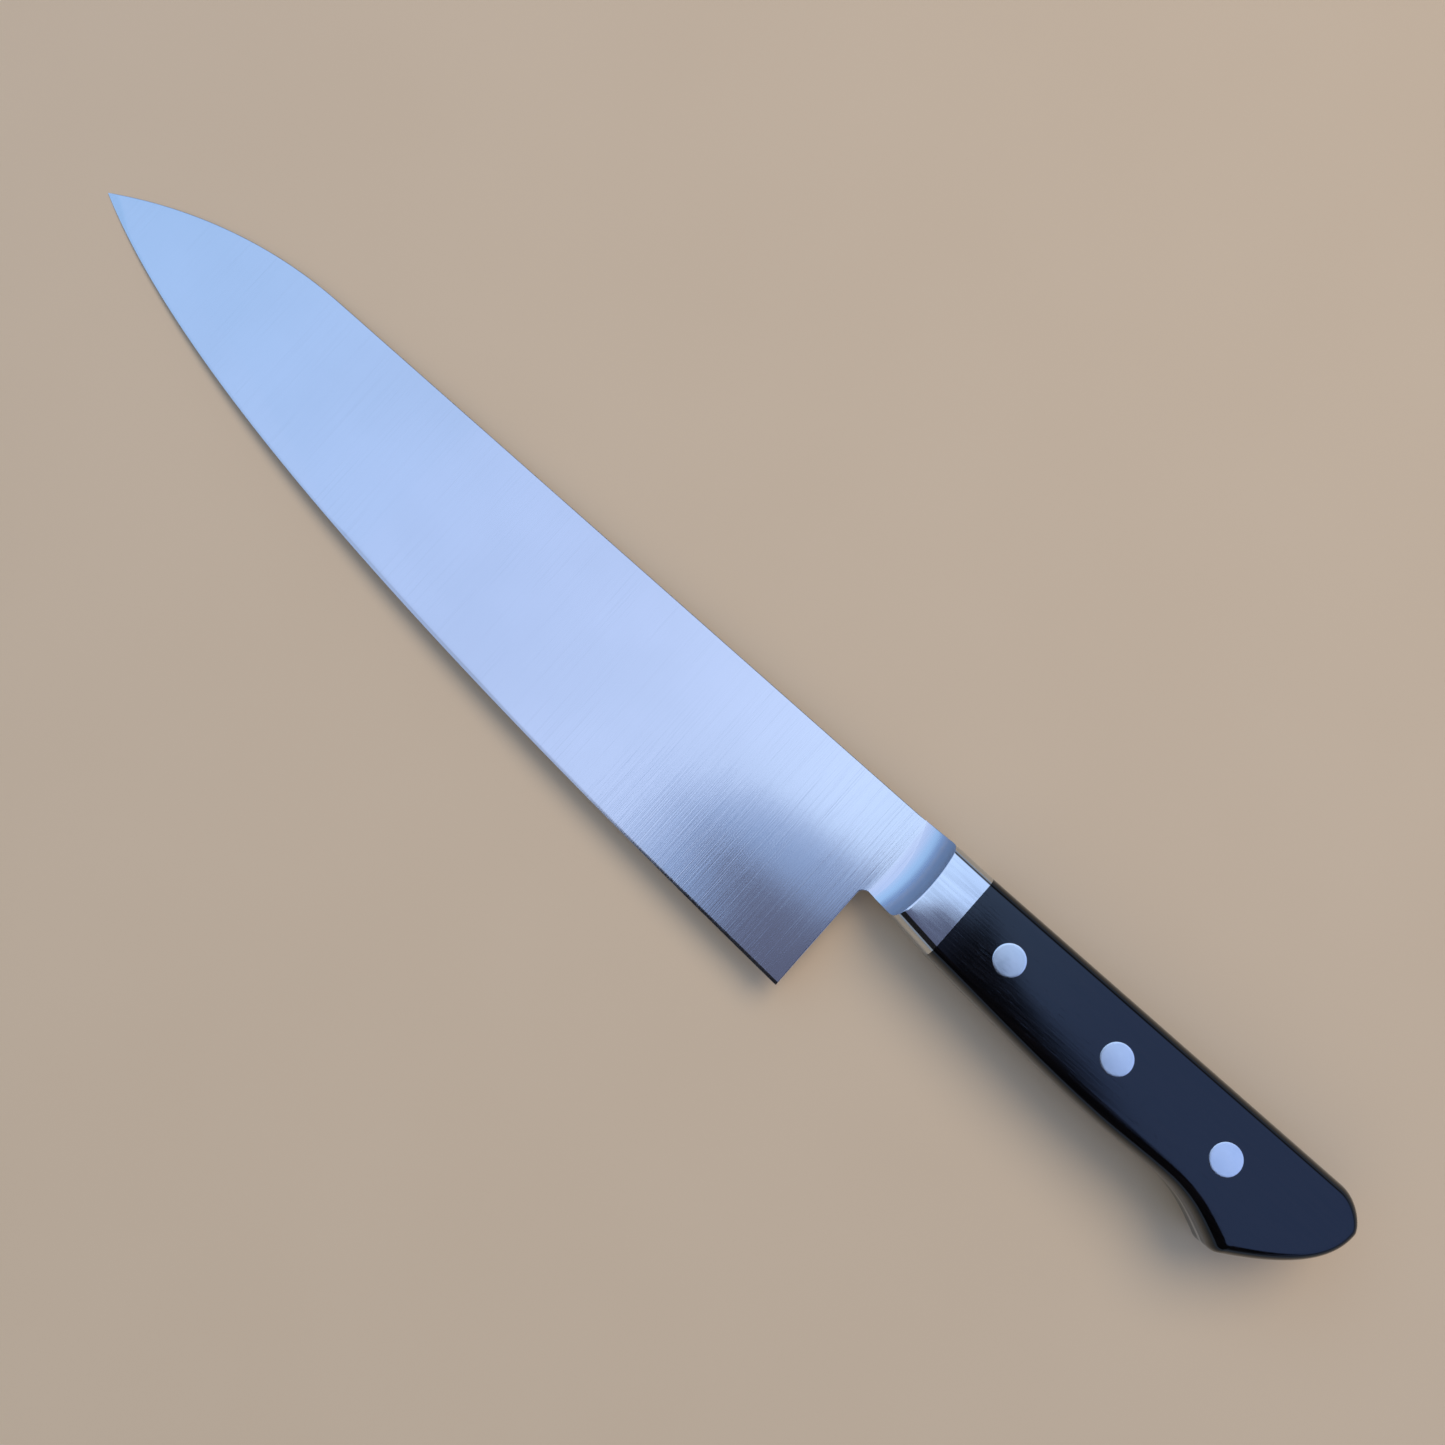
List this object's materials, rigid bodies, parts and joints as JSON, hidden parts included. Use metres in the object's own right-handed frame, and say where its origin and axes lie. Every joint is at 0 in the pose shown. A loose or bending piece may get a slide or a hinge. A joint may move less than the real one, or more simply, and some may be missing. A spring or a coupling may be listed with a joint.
{
  "type": "chef knife",
  "caption": "Chef's knife with a curved wide blade, hollow-ramped polished bolster, full tang and a black riveted handle with a beaked butt, for slicing and chopping.",
  "frame": {"origin": "under the middle of the knife's bounding box, on the plane of the handle's lower flat side", "axes": "+X along the spine from tip to butt, +Y from cutting edge to spine, +Z out of the left face; the knife lies on its right side"},
  "size_m": [0.3642, 0.0494, 0.0186],
  "materials": {
    "blade_steel": "satin, fine straight grinding lines from spine to edge",
    "bolster_steel": "bright polish with faint lengthwise lines",
    "handle_wood": "black resin-laminated wood, buffed to a soft gloss",
    "rivet_steel": "satin, ground flush with the handle"
  },
  "bodies": {
    "root": {"blade": "blade_steel", "bolster_left": "bolster_steel", "bolster_right": "bolster_steel", "scale_left": "handle_wood", "scale_right": "handle_wood", "front_rivet_pin": "rivet_steel", "front_rivet_sleeve": "rivet_steel", "middle_rivet_pin": "rivet_steel", "middle_rivet_sleeve": "rivet_steel", "rear_rivet_pin": "rivet_steel", "rear_rivet_sleeve": "rivet_steel"}
  },
  "joints": []
}
